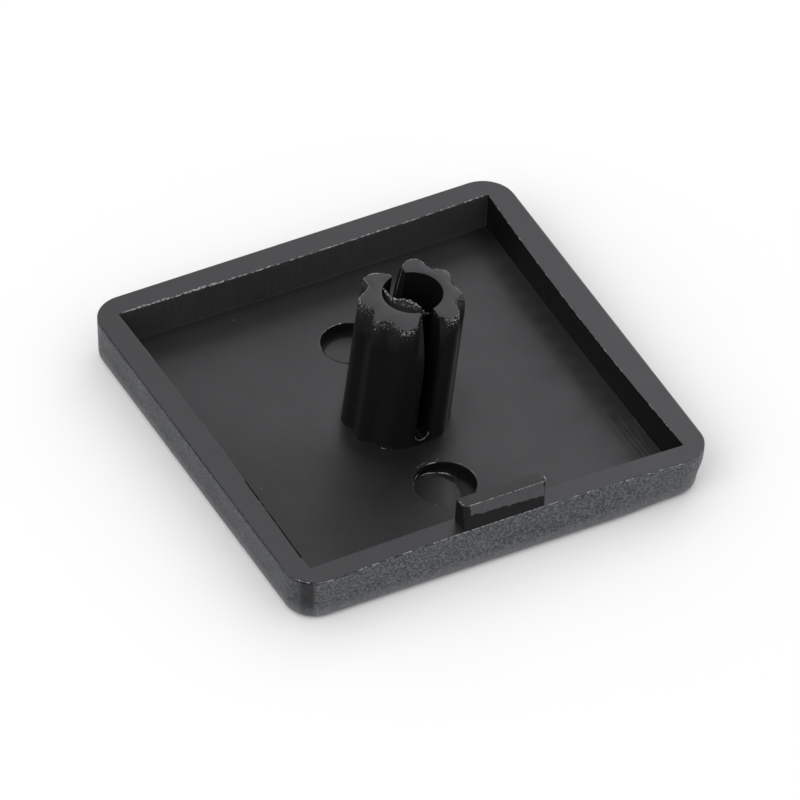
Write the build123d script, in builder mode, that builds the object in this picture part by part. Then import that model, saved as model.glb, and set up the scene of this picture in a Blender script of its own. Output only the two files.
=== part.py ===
from build123d import *
import os
from math import radians, tan

# End cap for a square slotted aluminium profile.
#
# The cap lies on its show face with the hollow side up, as it leaves its mould. The
# origin is the centre of the show face, +Z runs up along the peg, and the tab stands
# on the -Y side. Lengths are in millimetres and angles in degrees.

os.makedirs("parts", exist_ok=True)

# Tray: a shallow square box, open on the side that meets the profile
side_length = 45.0  # outside, across the rim
corner_radius = 3.3  # outside corners, seen from above
thickness = 5.0  # show face to rim
side_draft = 3.0  # the sides lean in towards the show face
show_edge_radius = 1.0  # rounding where the sides meet the show face
rim_edge_radius = 0.25  # slight rounding of the rim's outside edge

# Pocket: the hollow inside the tray
wall = 2.4  # rim width at the corners
floor = 1.0  # web behind the show face
pocket_draft = 1.0  # the walls lean in towards the floor
rim_draw = 0.3  # how far each wall bows in at mid-span, at the rim
floor_draw = 0.1  # the same at the floor, which holds the walls straighter

# Peg: fluted and split, pressed into the round core of the profile
peg_reach = 11.2  # from the rim to the tip
peg_radius = 5.4  # over the lobes, at the floor
peg_draft = 0.3
flutes_per_half = 3
flute_spacing = 38.0  # angle from one flute to the next
flute_radius = 1.1
flute_depth = 0.8
lobe_rounding = 0.4
tip_chamfer = 0.4
bore_radius = 2.9
split_width = 1.4
foot = 0.5  # left solid under the split and the bore

# Tab: stands on the rim and keys into one slot of the profile
tab_length = 8.8
tab_thickness = 1.45
tab_height = 2.6
tab_draft = 1.0
tab_rounding = 0.3
tab_setback = 0.05  # back from the wall's inner face

# Ejector marks: shallow round recesses in the floor, one on each side of the peg
mark_radius = 2.9
mark_depth = 0.7
mark_places = ((0.25, 10.6), (-0.9, -11.1))

# Heights and half widths that follow from the sizes above
pocket_depth = thickness - floor
mouth_half = side_length / 2 - wall
floor_half = mouth_half - pocket_depth * tan(radians(pocket_draft))
peg_length = pocket_depth + peg_reach
peg_tip = thickness + peg_reach
shoulder_radius = peg_radius - peg_length * tan(radians(peg_draft))  # under the tip
flute_sweep = flute_spacing * (flutes_per_half - 1)
bore_floor = floor + foot
split_round = split_width / 2
tab_back = rim_draw - mouth_half - tab_setback


def fluted_round(radius):
    """Return a round face of this radius with flutes on its left and its right."""
    with BuildSketch() as section:
        Circle(radius)
        for middle in (0, 180):
            with PolarLocations(
                radius - flute_depth + flute_radius,
                flutes_per_half,
                start_angle=middle - flute_sweep / 2,
                angular_range=flute_sweep,
                endpoint=True,
            ):
                Circle(flute_radius, mode=Mode.SUBTRACT)
        fillet(section.vertices(), lobe_rounding)
    return section.sketch



def bowed_square(half, draw):
    """Return a square face whose sides bow in by draw at mid-span."""
    with BuildSketch() as square:
        with BuildLine():
            ThreePointArc((-half, -half), (0, draw - half), (half, -half))
            ThreePointArc((half, -half), (half - draw, 0), (half, half))
            ThreePointArc((half, half), (0, half - draw), (-half, half))
            ThreePointArc((-half, half), (draw - half, 0), (-half, -half))
        make_face()
    return square.sketch


# The tray, drafted down from the rim, then hollowed from above
with BuildPart() as tray:
    with BuildSketch(Plane.XY.offset(thickness)):
        RectangleRounded(side_length, side_length, corner_radius)
    extrude(amount=-thickness, taper=side_draft)
    fillet(tray.faces().sort_by(Axis.Z)[0].edges(), show_edge_radius)
    fillet(tray.faces().sort_by(Axis.Z)[-1].edges(), rim_edge_radius)
    with BuildSketch(Plane.XY.offset(floor)):
        add(bowed_square(floor_half, floor_draw))
    with BuildSketch(Plane.XY.offset(thickness)):
        add(bowed_square(mouth_half, rim_draw))
    loft(mode=Mode.SUBTRACT)
    with BuildSketch(Plane.XY.offset(floor)):
        with Locations(*mark_places):
            Circle(mark_radius)
    extrude(amount=-mark_depth, mode=Mode.SUBTRACT)

# The peg: a round post with flutes cut along it, bored and then split in two
with BuildPart() as peg:
    with BuildSketch(Plane.XY.offset(floor)):
        add(fluted_round(peg_radius))
    with BuildSketch(Plane.XY.offset(peg_tip - tip_chamfer)):
        add(fluted_round(shoulder_radius))
    loft()
    with BuildSketch(Plane.XY.offset(peg_tip - tip_chamfer)):
        add(fluted_round(shoulder_radius))
    with BuildSketch(Plane.XY.offset(peg_tip)):
        add(fluted_round(shoulder_radius - tip_chamfer))
    loft()
    with BuildSketch(Plane.XY.offset(bore_floor)):
        Circle(bore_radius)
    extrude(amount=peg_length, mode=Mode.SUBTRACT)
    with BuildSketch(Plane.XZ):
        with Locations((0, bore_floor + split_round)):
            Circle(split_round)
            Rectangle(split_width, peg_length, align=(Align.CENTER, Align.MIN))
    extrude(amount=peg_radius, both=True, mode=Mode.SUBTRACT)

# The tab, close behind the inside of the near wall
with BuildPart() as tab:
    with BuildSketch(Plane.XY.offset(thickness)) as footprint:
        with Locations((0, tab_back - tab_thickness / 2)):
            Rectangle(tab_length, tab_thickness)
        fillet(footprint.vertices(), tab_rounding)
    extrude(amount=tab_height, taper=tab_draft)

# One moulding
with BuildPart() as end_cap:
    add(tray.part)
    add(peg.part)
    add(tab.part)
end_cap.part.label = "end_cap"
export_step(end_cap.part, "parts/end_cap.step")
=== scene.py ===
# %% [markdown]
# # A push-in end cap for a slotted profile
# One black moulding: a shallow square tray that covers the cut end of a profile, a
# fluted peg that is split and bored so that it springs into the profile's core, and
# a small tab that keys into one slot. It lies on its show face with the hollow up.
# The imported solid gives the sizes. The surface is built again here as clean mesh
# loops, because the small things that tell how it was made, such as flash, pin marks
# and a torn skin in the bore, need more points than a machined solid has.

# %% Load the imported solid
import math
import random

import bmesh
import bpy
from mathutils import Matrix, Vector, geometry, noise


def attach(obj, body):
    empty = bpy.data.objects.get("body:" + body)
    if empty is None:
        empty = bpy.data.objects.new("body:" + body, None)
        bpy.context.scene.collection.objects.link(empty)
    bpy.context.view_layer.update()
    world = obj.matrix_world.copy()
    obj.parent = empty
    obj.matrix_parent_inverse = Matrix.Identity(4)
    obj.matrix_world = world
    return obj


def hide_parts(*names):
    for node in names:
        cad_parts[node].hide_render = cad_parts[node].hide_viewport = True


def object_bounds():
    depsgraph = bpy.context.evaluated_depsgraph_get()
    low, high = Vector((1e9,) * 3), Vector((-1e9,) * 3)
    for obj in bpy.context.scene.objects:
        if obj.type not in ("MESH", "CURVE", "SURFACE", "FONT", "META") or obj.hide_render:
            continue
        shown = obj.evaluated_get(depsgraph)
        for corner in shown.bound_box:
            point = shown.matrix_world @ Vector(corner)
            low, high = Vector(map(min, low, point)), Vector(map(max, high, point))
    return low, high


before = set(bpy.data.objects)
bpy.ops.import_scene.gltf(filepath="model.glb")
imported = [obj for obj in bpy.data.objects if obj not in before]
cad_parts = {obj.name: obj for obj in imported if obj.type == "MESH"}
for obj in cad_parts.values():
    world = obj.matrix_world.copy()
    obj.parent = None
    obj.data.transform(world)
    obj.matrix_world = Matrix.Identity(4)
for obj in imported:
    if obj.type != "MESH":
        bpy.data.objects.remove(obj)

cad_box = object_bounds()
print("solid box, mm:", [[round(1000 * v, 2) for v in corner] for corner in cad_box])

# %% [markdown]
# ## Sizes
# Plastic parts are drawn in millimetres, so every size here is in millimetres and
# one helper turns the finished points into metres. The outside size comes from the
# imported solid, so that a change there carries through.

# %% Sizes of the tray
MM = 0.001
RIM_Z = 5.0
FLOOR_Z = 1.0
TIP_Z = cad_box[1].z / MM
HALF = cad_box[1].x / MM
CORNER = 3.3
DRAFT_DEGREES = 3.0
SIDE_DRAFT = math.tan(math.radians(DRAFT_DEGREES))
SHOW_ROUND = 1.0
RIM_ROUND = 0.12
MOUTH_HALF = 20.1
FLOOR_HALF = 20.03
POCKET_CORNER = 0.12
print("rim to tip, mm:", round(TIP_Z - RIM_Z, 2))

# %% [markdown]
# ## Shared shop tools
# A few small helpers carry the whole model. Some find places: a point on a circle, an
# easy step between two values, and a wandering value, so that edges are never dead
# straight. The others add a row of points, join rows into a skin, turn points and
# faces into a piece that rides on the frame, and pick a finish for each of its faces.

# %% Helpers for places
def wander(x, y, z=0.0, size=1.0):
    """Return a smooth value between about -1 and 1 that wanders over this many mm."""
    return noise.noise(Vector((x, y, z)) / size)


def smoothstep(low, high, value):
    """Return 0 at low and before it, 1 at high and past it, and an easy curve between."""
    t = min(1.0, max(0.0, (value - low) / (high - low)))
    return t * t * (3.0 - 2.0 * t)


def on_circle(turn, radius, centre=(0.0, 0.0)):
    """Return the place on a circle at a turn in radians."""
    return centre[0] + radius * math.cos(turn), centre[1] + radius * math.sin(turn)


def polar(radius, degrees):
    """Return the place at a radius and an angle in degrees from the middle."""
    return on_circle(math.radians(degrees), radius)


# %% Helpers for rows
def add_row(points, rows, row):
    """Add a row of 3-D points to a list of points, and its numbers to a list of rows."""
    first = len(points)
    points.extend(row)
    rows.append(list(range(first, len(points))))


def skin_rows(rows, closed=True):
    """Return quads that join rows of equally many points, given as point numbers."""
    quads = []
    for low, high in zip(rows, rows[1:]):
        count = len(low)
        for i in range(count if closed else count - 1):
            j = (i + 1) % count
            quads.append((low[i], low[j], high[j], high[i]))
    return quads


# %% Helpers for pieces
MERGE_DISTANCE = 1e-7


def make_piece(name, points, faces, materials, smooth=40.0, face_slots=None):
    """Make a mesh piece from points in mm, and let it ride on the frame."""
    mesh = bpy.data.meshes.new(name)
    mesh.from_pydata([Vector(p) * MM for p in points], [], faces)
    piece = bpy.data.objects.new(name, mesh)
    bpy.context.scene.collection.objects.link(piece)
    for material in materials:
        mesh.materials.append(material)
    if face_slots:
        mesh.polygons.foreach_set("material_index", face_slots)
    shell = bmesh.new()
    shell.from_mesh(mesh)
    bmesh.ops.remove_doubles(shell, verts=shell.verts, dist=MERGE_DISTANCE)
    bmesh.ops.recalc_face_normals(shell, faces=shell.faces)
    shell.to_mesh(mesh)
    shell.free()
    mesh.shade_smooth()
    mesh.set_sharp_from_angle(angle=math.radians(smooth))
    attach(piece, "root")
    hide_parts("end_cap")
    print(name, "has", len(mesh.polygons), "faces")
    return piece


def dress(piece, finish_at):
    """Pick each face's material slot by its place in mm, how level it is and its slot."""
    for face in piece.data.polygons:
        face.material_index = finish_at(*(face.center / MM), face.normal.z,
                                        face.material_index)
    slots = [face.material_index for face in piece.data.polygons]
    print(piece.name, "faces by finish:", [slots.count(i) for i in range(max(slots) + 1)])


# %% [markdown]
# ## Finishes
# The whole part is one black polyamide, but the mould gave it several skins. Where
# the steel was polished, the inside and the rim are smooth with a soft sheen. The
# outer sides were spark-eroded and have a fine matt grain. Where flash was torn off,
# the plastic is rough and whitened. One more skin, a darker copy of the plastic, is
# painted shade. Each skin is its own material, and the effects that they share are
# node groups: a slow mottle, specks of dust and fine scratches.

# %% Helpers for nodes
def feed(tree, value, socket):
    """Link a socket to an input, or set the input to a plain number or colour."""
    if isinstance(value, bpy.types.NodeSocket):
        tree.links.new(value, socket)
    else:
        socket.default_value = value


def math_node(tree, operation, *values):
    """Add a Math node whose inputs are sockets or plain numbers."""
    node = tree.nodes.new("ShaderNodeMath")
    node.operation = operation
    for socket, value in zip(node.inputs, values):
        feed(tree, value, socket)
    return node.outputs[0]


def times(tree, a, b):
    """Multiply two values, which for masks leaves what both of them cover."""
    return math_node(tree, "MULTIPLY", a, b)


def plus(tree, a, b):
    """Add two values."""
    return math_node(tree, "ADD", a, b)


def range_node(tree, value, low, high, to_low=0.0, to_high=1.0):
    """Add a Map Range node, clamped, from sockets or plain numbers."""
    node = tree.nodes.new("ShaderNodeMapRange")
    for socket, item in zip(node.inputs, (value, low, high, to_low, to_high)):
        feed(tree, item, socket)
    return node.outputs[0]


# %% Helper for noise
def noise_node(tree, place, scale, detail=3.0, rough=0.5):
    """Add a Noise node read at a place in mm. Its scale is in cells to the mm."""
    node = tree.nodes.new("ShaderNodeTexNoise")
    for label, value in (("Vector", place), ("Scale", scale), ("Detail", detail),
                         ("Roughness", rough)):
        feed(tree, value, node.inputs[label])
    return node.outputs["Fac"]


# %% Helper for a node group
def new_group(name, result, **numbers):
    """Start a node group that reads a place and some numbers and puts out one value.

    Return the group, its given sockets and the socket for its result."""
    group = bpy.data.node_groups.new(name, "ShaderNodeTree")
    group.interface.new_socket("Place", in_out="INPUT", socket_type="NodeSocketVector")
    for label, value in numbers.items():
        socket = group.interface.new_socket(label, in_out="INPUT",
                                            socket_type="NodeSocketFloat")
        socket.default_value = value
    group.interface.new_socket(result, in_out="OUTPUT", socket_type="NodeSocketFloat")
    ends_in = group.nodes.new("NodeGroupInput")
    ends_out = group.nodes.new("NodeGroupOutput")
    print("node group:", name)
    return group, ends_in.outputs, ends_out.inputs[result]


# %% [markdown]
# ### Mottle
# A moulded face is never even: the melt freezes a little sooner here than there, so
# the sheen drifts in soft patches a few millimetres across, with a finer cloud on
# top. Two noises of different size, added, give that drift.

# %% Node group: mottle
mottle, given, result = new_group("mottle", "Value", Low=0.3, High=0.4)
slow_cloud = noise_node(mottle, given["Place"], 0.22, detail=2.0)
fine_cloud = noise_node(mottle, given["Place"], 1.9, detail=4.0, rough=0.6)
cloud = plus(mottle, times(mottle, slow_cloud, 0.6), times(mottle, fine_cloud, 0.4))
mottle.links.new(range_node(mottle, cloud, 0.36, 0.64, given["Low"], given["High"]), result)

# %% [markdown]
# ### Specks
# A loose part picks up lint and chips of its own flash, which show as pale points on
# black. A cell pattern gives one point to a cell, and only the rare cell whose
# random number is low enough shows it.

# %% Node group: specks
POINT_RADIUS = 0.05
specks, given, result = new_group("specks", "Mask", Cells=0.6, Share=0.1)
cells = specks.nodes.new("ShaderNodeTexVoronoi")
specks.links.new(given["Place"], cells.inputs["Vector"])
specks.links.new(given["Cells"], cells.inputs["Scale"])
cell_colour = specks.nodes.new("ShaderNodeSeparateColor")
specks.links.new(cells.outputs["Color"], cell_colour.inputs[0])
near_point = math_node(specks, "LESS_THAN", cells.outputs["Distance"], POINT_RADIUS)
rare_cell = math_node(specks, "LESS_THAN", cell_colour.outputs[0], given["Share"])
specks.links.new(times(specks, near_point, rare_cell), result)

# %% [markdown]
# ### Scratches
# Parts rub on each other in the bag. The rubs are fine lines, many of them nearly
# parallel, and broken up. A wave pattern that is bent a little by noise gives the
# lines, and a second noise leaves them only in patches.

# %% Node group: scratches
scratches, given, result = new_group("scratches", "Mask", Spacing=2.2, Cover=0.6)
waves = scratches.nodes.new("ShaderNodeTexWave")
waves.bands_direction = "X"
for label, value in (("Vector", given["Place"]), ("Scale", given["Spacing"]),
                     ("Distortion", 5.0), ("Detail", 2.0), ("Detail Scale", 0.25)):
    feed(scratches, value, waves.inputs[label])
thin_lines = range_node(scratches, waves.outputs["Fac"], 0.965, 1.0)
patches = noise_node(scratches, given["Place"], 0.35, detail=2.0)
patch_mask = range_node(scratches, patches, given["Cover"], 0.75)
scratches.links.new(times(scratches, thin_lines, patch_mask), result)

# %% [markdown]
# ### How each finish is made
# Every finish starts from the same plain plastic and reads its place in millimetres.
# It lays tones over each other by masks, and ends with a colour, a roughness and a
# bump. What is the same all over, such as the gloss, is set on the shader itself.

# %% Helper that starts a finish
POLYAMIDE_IOR = 1.53
COOL_TINT = (0.94, 0.955, 1.0, 1.0)


def start_finish(name, tone, gloss=0.5):
    """Start a material and return it with its tree, its Principled node and a place in mm.

    tone is the plain colour that stands in where the nodes aren't read."""
    material = bpy.data.materials.new(name)
    material.use_nodes = True
    tree = material.node_tree
    skin = tree.nodes["Principled BSDF"]
    skin.inputs["Base Color"].default_value = (*tone, 1.0)
    skin.inputs["IOR"].default_value = POLYAMIDE_IOR
    skin.inputs["Specular IOR Level"].default_value = gloss
    skin.inputs["Specular Tint"].default_value = COOL_TINT
    where = tree.nodes.new("ShaderNodeTexCoord")
    in_mm = tree.nodes.new("ShaderNodeVectorMath")
    in_mm.operation = "SCALE"
    in_mm.inputs["Scale"].default_value = 1.0 / MM
    tree.links.new(where.outputs["Object"], in_mm.inputs[0])
    print("finish:", name)
    return material, tree, skin, in_mm.outputs[0]


# %% Helpers that read a place
def axes(tree, place):
    """Return a place's X, Y and Z as three sockets."""
    split = tree.nodes.new("ShaderNodeSeparateXYZ")
    tree.links.new(place, split.inputs[0])
    return split.outputs[0], split.outputs[1], split.outputs[2]


def squeezed(tree, place, scale):
    """Return a place scaled along each axis, so that noise read there is drawn out."""
    mapping = tree.nodes.new("ShaderNodeMapping")
    mapping.inputs["Scale"].default_value = scale
    tree.links.new(place, mapping.inputs["Vector"])
    return mapping.outputs[0]


def use_group(tree, group, place, **values):
    """Place a node group in a material and return what it puts out."""
    node = tree.nodes.new("ShaderNodeGroup")
    node.node_tree = group
    tree.links.new(place, node.inputs["Place"])
    for label, value in values.items():
        node.inputs[label].default_value = value
    return node.outputs[0]


# %% Helpers that complete a finish
def layer_colours(tree, tone, *layers):
    """Lay colours over a tone, each by its own mask, and return the result."""
    for mask, colour in layers:
        mix = tree.nodes.new("ShaderNodeMix")
        mix.data_type = "RGBA"
        tree.links.new(mask, mix.inputs["Factor"])
        for label, shade in (("A", tone), ("B", colour)):
            feed(tree, (*shade, 1.0) if isinstance(shade, tuple) else shade, mix.inputs[label])
        tone = mix.outputs["Result"]
    return tone


def complete(tree, skin, tone, roughness, height, depth):
    """Give a skin its colour, its roughness and a bump: a height times a depth in mm."""
    feed(tree, tone, skin.inputs["Base Color"])
    feed(tree, roughness, skin.inputs["Roughness"])
    bump = tree.nodes.new("ShaderNodeBump")
    bump.inputs["Strength"].default_value = 1.0
    bump.inputs["Distance"].default_value = depth * MM
    tree.links.new(height, bump.inputs["Height"])
    tree.links.new(bump.outputs[0], skin.inputs["Normal"])


# %% [markdown]
# ### Smooth skin
# The pocket's floor and the tops of the peg and the tab copy polished steel. The sheen
# is broad rather than mirror-like, so the roughness stays around a third and drifts
# with the mottle. A very shallow ripple keeps a reflection from looking like glass.
# The near left of the floor is darker and a little rougher: the darker tone is painted
# shade, where the peg's shadow and dark reflection fall. The far half of the strip by
# the right wall is darker, the strip by the far wall is paler, and fine rub lines run
# along the near half of the right wall. Masks by place lay those tones over each other.

# %% Finish: smooth black
SMOOTH_TONE = (0.009, 0.009, 0.0095)
smooth_black, tree, skin, place = start_finish("smooth_black", SMOOTH_TONE)
x_mm, y_mm, _ = axes(tree, place)
rubs = use_group(tree, scratches, place, Spacing=1.3, Cover=0.52)
# Painted shade: the near left of the floor, where the peg's shadow and reflection fall.
near_left = range_node(tree, plus(tree, x_mm, y_mm), -6.0, -18.0)
far_band = times(tree, range_node(tree, y_mm, 14.5, 18.0), range_node(tree, y_mm, 19.9, 18.9))
right_band = times(tree, range_node(tree, x_mm, 16.5, 19.0), range_node(tree, y_mm, -2.0, 4.0))
right_wall = times(tree, range_node(tree, x_mm, 16.6, 17.8), range_node(tree, y_mm, -4.0, -8.0))
rub_lines = noise_node(tree, squeezed(tree, place, (1.0, 0.03, 1.0)), 3.5)
dust = use_group(tree, specks, place, Cells=0.35, Share=0.10)
tone = layer_colours(
    tree, SMOOTH_TONE,
    (near_left, (0.0015, 0.0015, 0.0016)),
    (far_band, (0.0165, 0.0165, 0.0172)),
    (right_band, (0.003, 0.003, 0.0032)),
    (dust, (0.16, 0.16, 0.165)),
    (times(tree, range_node(tree, rub_lines, 0.56, 0.64), right_wall), (0.035, 0.035, 0.036)),
)
worn = plus(tree, times(tree, rubs, 0.10), times(tree, near_left, 0.12))
sheen = plus(tree, use_group(tree, mottle, place, Low=0.33, High=0.43), worn)
ripple = math_node(tree, "SUBTRACT", noise_node(tree, place, 2.4, detail=5.0, rough=0.55),
                   times(tree, rubs, 0.35))
complete(tree, skin, tone, sheen, ripple, 0.009)

# %% [markdown]
# ### Satin skin
# The rim was stoned, not polished, so it spreads the light more than the floor does,
# and the pins that made the round marks were finished the same way. It is the smooth
# skin in a paler tone with a shallower ripple. The far mark is darker all over, as
# painted shade down in its recess. The near right of the near mark and the far side
# of the far one are darker, as painted shade from the marks' walls, and rougher too.
# A mask along a slant over the part finds those places.

# %% Finish: satin black
SATIN_TONE = (0.013, 0.013, 0.0137)
satin_black, tree, skin, place = start_finish("satin_black", SATIN_TONE)
x_mm, y_mm, z_mm = axes(tree, place)
sunk = range_node(tree, z_mm, 0.97, 0.9)
in_near_mark = math_node(tree, "LESS_THAN", y_mm, 0.0)
in_far_mark = times(tree, sunk, math_node(tree, "GREATER_THAN", y_mm, 0.0))


def shade_slant(tilt_x, tilt_y, start, stop):
    """Return a mask in the marks that rises from start to stop along a slant, in mm."""
    slant = plus(tree, times(tree, x_mm, tilt_x), times(tree, y_mm, tilt_y))
    return times(tree, range_node(tree, slant, start, stop), sunk)


# Painted shade, and more roughness, on the near right of the near mark and the far side of the
# far one.
shaded_and_dulled = math_node(tree, "MAXIMUM", times(tree, shade_slant(0.9, -0.45, 4.6, 6.6), in_near_mark),
                   shade_slant(0.4, 0.9, 9.6, 12.2))
lint = use_group(tree, specks, place, Cells=0.3, Share=0.06)
# Painted shade: the whole far mark is darker, down in its recess.
tone = layer_colours(
    tree, SATIN_TONE,
    (math_node(tree, "MAXIMUM", shaded_and_dulled, in_far_mark), (0.002, 0.002, 0.0022)),
    (lint, (0.12, 0.12, 0.124)),
)
sheen = use_group(tree, mottle, place, Low=0.30, High=0.38)
complete(tree, skin, tone, plus(tree, sheen, times(tree, shaded_and_dulled, 0.5)),
         noise_node(tree, place, 2.0, detail=4.0), 0.008)

# %% [markdown]
# ### Drawn skin
# The near and far walls of the pocket slid past the steel as the part was pushed out,
# and so did the upper front of the tab. They are duller than the floor and carry fine
# upright drag lines. A noise that is squeezed along the height gives lines that run
# the way the part moved.

# %% Finish: drawn black
drawn_black, tree, skin, place = start_finish("drawn_black", (0.026, 0.026, 0.027))
drag = noise_node(tree, squeezed(tree, place, (1.0, 1.0, 0.12)), 3.0, detail=4.0, rough=0.6)
tone = layer_colours(tree, (0.027, 0.027, 0.028),
                     (range_node(tree, drag, 0.35, 0.7), (0.036, 0.036, 0.0375)))
dull = use_group(tree, mottle, place, Low=0.4, High=0.55)
complete(tree, skin, tone, dull, drag, 0.03)

# %% [markdown]
# ### Shaded skin
# A darker copy of the plastic, with a weaker sheen than the rest, is painted shade. It
# goes on the left and right walls, the bore, the steps round the marks, the ends and
# the foot of the tab and a groove by the left wall, which lie turned from the light or
# down in hollows.

# %% Finish: shaded black
SHADED_TONE = (0.0055, 0.0055, 0.0058)
shaded_black, tree, skin, place = start_finish("shaded_black", SHADED_TONE, gloss=0.12)
grit = use_group(tree, specks, place, Cells=0.6, Share=0.08)
tone = layer_colours(tree, SHADED_TONE, (grit, (0.06, 0.06, 0.062)))
scuffs = use_group(tree, mottle, place, Low=0.26, High=0.38)
complete(tree, skin, tone, scuffs, noise_node(tree, place, 2.2, detail=4.0), 0.02)

# %% [markdown]
# ### Peg skin
# The peg was formed in a deep polished hole, so its flanks are dark and the smoothest
# faces of all. Towards the tip the polish gives way to a crumbled band, where the
# plastic was rubbed white. The height on the part decides how much of it shows.

# %% Finish: peg black
PEG_TONE = (0.0075, 0.0075, 0.0083)
peg_black, tree, skin, place = start_finish("peg_black", PEG_TONE, gloss=0.13)
_, _, z_mm = axes(tree, place)
crumble = noise_node(tree, place, 5.0, detail=6.0, rough=0.72)
near_tip = range_node(tree, z_mm, 12.6, 16.0)
below_face = range_node(tree, z_mm, TIP_Z - 0.06, TIP_Z - 0.045, 1.0, 0.0)
crumb_band = times(tree, near_tip, below_face)
crumb_level = range_node(tree, near_tip, 0.0, 1.0, 0.74, 0.5)
crumbled = range_node(tree, crumble, crumb_level, plus(tree, crumb_level, 0.08))
tone = layer_colours(tree, PEG_TONE,
                     (times(tree, crumb_band, crumbled), (0.13, 0.13, 0.134)))
sheen = plus(tree, use_group(tree, mottle, place, Low=0.17, High=0.23),
             times(tree, crumb_band, 0.05))
complete(tree, skin, tone, sheen, times(tree, crumble, plus(tree, crumb_band, 0.06)), 0.14)

# %% [markdown]
# ### Spark-eroded skin
# The outer sides copy steel that was eroded by sparks, a field of tiny craters a few
# tenths of a millimetre wide. Noise at that size as bump gives the grain, and the
# pits hold a little less light than the crests. The left side takes a darker copy of
# the grain, as painted shade on the side turned from the light. The foot of every side
# is painted paler, as light thrown up from the white floor. One dark band runs down the
# round of the near left corner, fainter towards its foot.

# %% Finish: grained black
BLOTCH_MIDDLE = 0.5
grained_black, tree, skin, place = start_finish("grained_black", (0.03, 0.0304, 0.0315),
                                                gloss=0.36)
x_mm, y_mm, z_mm = axes(tree, place)
craters = noise_node(tree, place, 4.6, detail=6.0, rough=0.75)
pits = range_node(tree, craters, 0.42, 0.61)
pale_grain = layer_colours(tree, (0.0165, 0.0176, 0.0193), (pits, (0.14, 0.1475, 0.16)))
# Painted shade: a darker copy of the grain for the left side.
left_shade_grain = layer_colours(tree, (0.0035, 0.0038, 0.0044), (pits, (0.0745, 0.079, 0.087)))
across = math_node(tree, "SUBTRACT", x_mm, y_mm)
off_blotch = math_node(tree, "ABSOLUTE", math_node(tree, "SUBTRACT", across, BLOTCH_MIDDLE))
near_corner = math_node(tree, "LESS_THAN", x_mm, -15.0)
blotch = times(tree, times(tree, range_node(tree, off_blotch, 1.3, 0.7), near_corner),
               range_node(tree, z_mm, 1.0, 2.4, 0.4, 0.97))
# Painted light: the foot of every side is paler, as lit from the white floor.
tone = layer_colours(
    tree, pale_grain,
    (range_node(tree, x_mm, -21.0, -22.0), left_shade_grain),
    (range_node(tree, z_mm, 1.9, 0.4, 0.0, 0.8), (0.17, 0.173, 0.18)),
    (blotch, (0.002, 0.002, 0.002)),
    (use_group(tree, specks, place, Cells=1.4, Share=0.22), (0.003, 0.003, 0.003)),
    (use_group(tree, specks, place, Cells=0.9, Share=0.10), (0.22, 0.224, 0.23)),
)
matt = use_group(tree, mottle, place, Low=0.34, High=0.48)
complete(tree, skin, tone, matt, craters, 0.17)

# %% [markdown]
# ### Torn skin
# Where a film tore, polyamide whitens under stress, and the broken surface is coarse.
# It is the same plastic with a rough bump, and with white spots only near the tip's
# height, where the film was bent most.

# %% Finish: torn black
torn_black, tree, skin, place = start_finish("torn_black", (0.03, 0.03, 0.031), gloss=0.16)
_, _, z_mm = axes(tree, place)
ragged = noise_node(tree, place, 4.5, detail=6.0, rough=0.7)
white_spots = times(tree, range_node(tree, ragged, 0.5, 0.68),
                    range_node(tree, z_mm, TIP_Z - 0.5, TIP_Z - 0.25))
tone = layer_colours(tree, (0.005, 0.005, 0.0053), (white_spots, (0.24, 0.24, 0.246)))
tear = use_group(tree, mottle, place, Low=0.35, High=0.55)
complete(tree, skin, tone, tear, ragged, 0.16)

# %% [markdown]
# ### Whitened flash
# The thin fins that stay on a parting edge are bent and bruised all through, so they
# are the palest plastic on the part: grey, in broken lengths. Some pale fins made of it,
# on the tip's edge and round the marks, are painted highlights.

# %% Finish: whitened flash
white_flash, tree, skin, place = start_finish("white_flash", (0.2, 0.2, 0.205))
bruise = noise_node(tree, place, 3.0, detail=4.0, rough=0.6)
tone = layer_colours(tree, (0.05, 0.05, 0.052),
                     (range_node(tree, bruise, 0.4, 0.62), (0.42, 0.42, 0.43)))
complete(tree, skin, tone, 0.45, bruise, 0.08)

# %% [markdown]
# ## Tray
# The tray is a stack of square loops with the same number of points: round the show
# face, up the drafted side, over the rim and down into the pocket. Loops are chosen
# over a cut box because each one can bow, wander and keep its own corner radius.
# The long walls draw inwards as the plastic cools, most at mid-span.

# %% Square loops
PER_SIDE, PER_CORNER = 150, 16


def square_loop(half, corner, bows=(0, 0, 0, 0)):
    """Return points round a square, from the near left corner along each side in turn.

    bows is how far the near, right, far and left sides bow in at mid-span."""
    straight = half - corner
    points = []
    for side in range(4):
        run = []
        for step in range(PER_SIDE):
            t = -1 + 2 * step / PER_SIDE
            run.append((t * straight, bows[side] * (1 - t * t) - half))
        for step in range(PER_CORNER):
            angle = -math.pi / 2 + (math.pi / 2) * step / PER_CORNER
            run.append(on_circle(angle, corner, (straight, -straight)))
        sine, cosine = math.sin(side * math.pi / 2), math.cos(side * math.pi / 2)
        points += [(x * cosine - y * sine, x * sine + y * cosine) for x, y in run]
    return points


print("points in a loop:", 4 * (PER_SIDE + PER_CORNER), "of which about",
      round(2 * HALF / PER_SIDE, 2), "mm apart")

# %% Rows of the show face and its rounded edge
BOX_MARGIN = 0.0015
FOOT_WEAR = 0.34
WEAR_BAND = (33.0, 41.5)
WEAR_HEIGHTS = (4.0, 0.8)
SMOOTH, GRAINED, SATIN, DRAWN, SHADED = range(5)
top_half = HALF - BOX_MARGIN
side_foot = top_half - (RIM_Z - RIM_ROUND) * SIDE_DRAFT
round_centre = side_foot + SHOW_ROUND * SIDE_DRAFT - SHOW_ROUND / math.cos(math.atan(SIDE_DRAFT))
tray_points, tray_rows, row_skins = [], [], []


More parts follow.
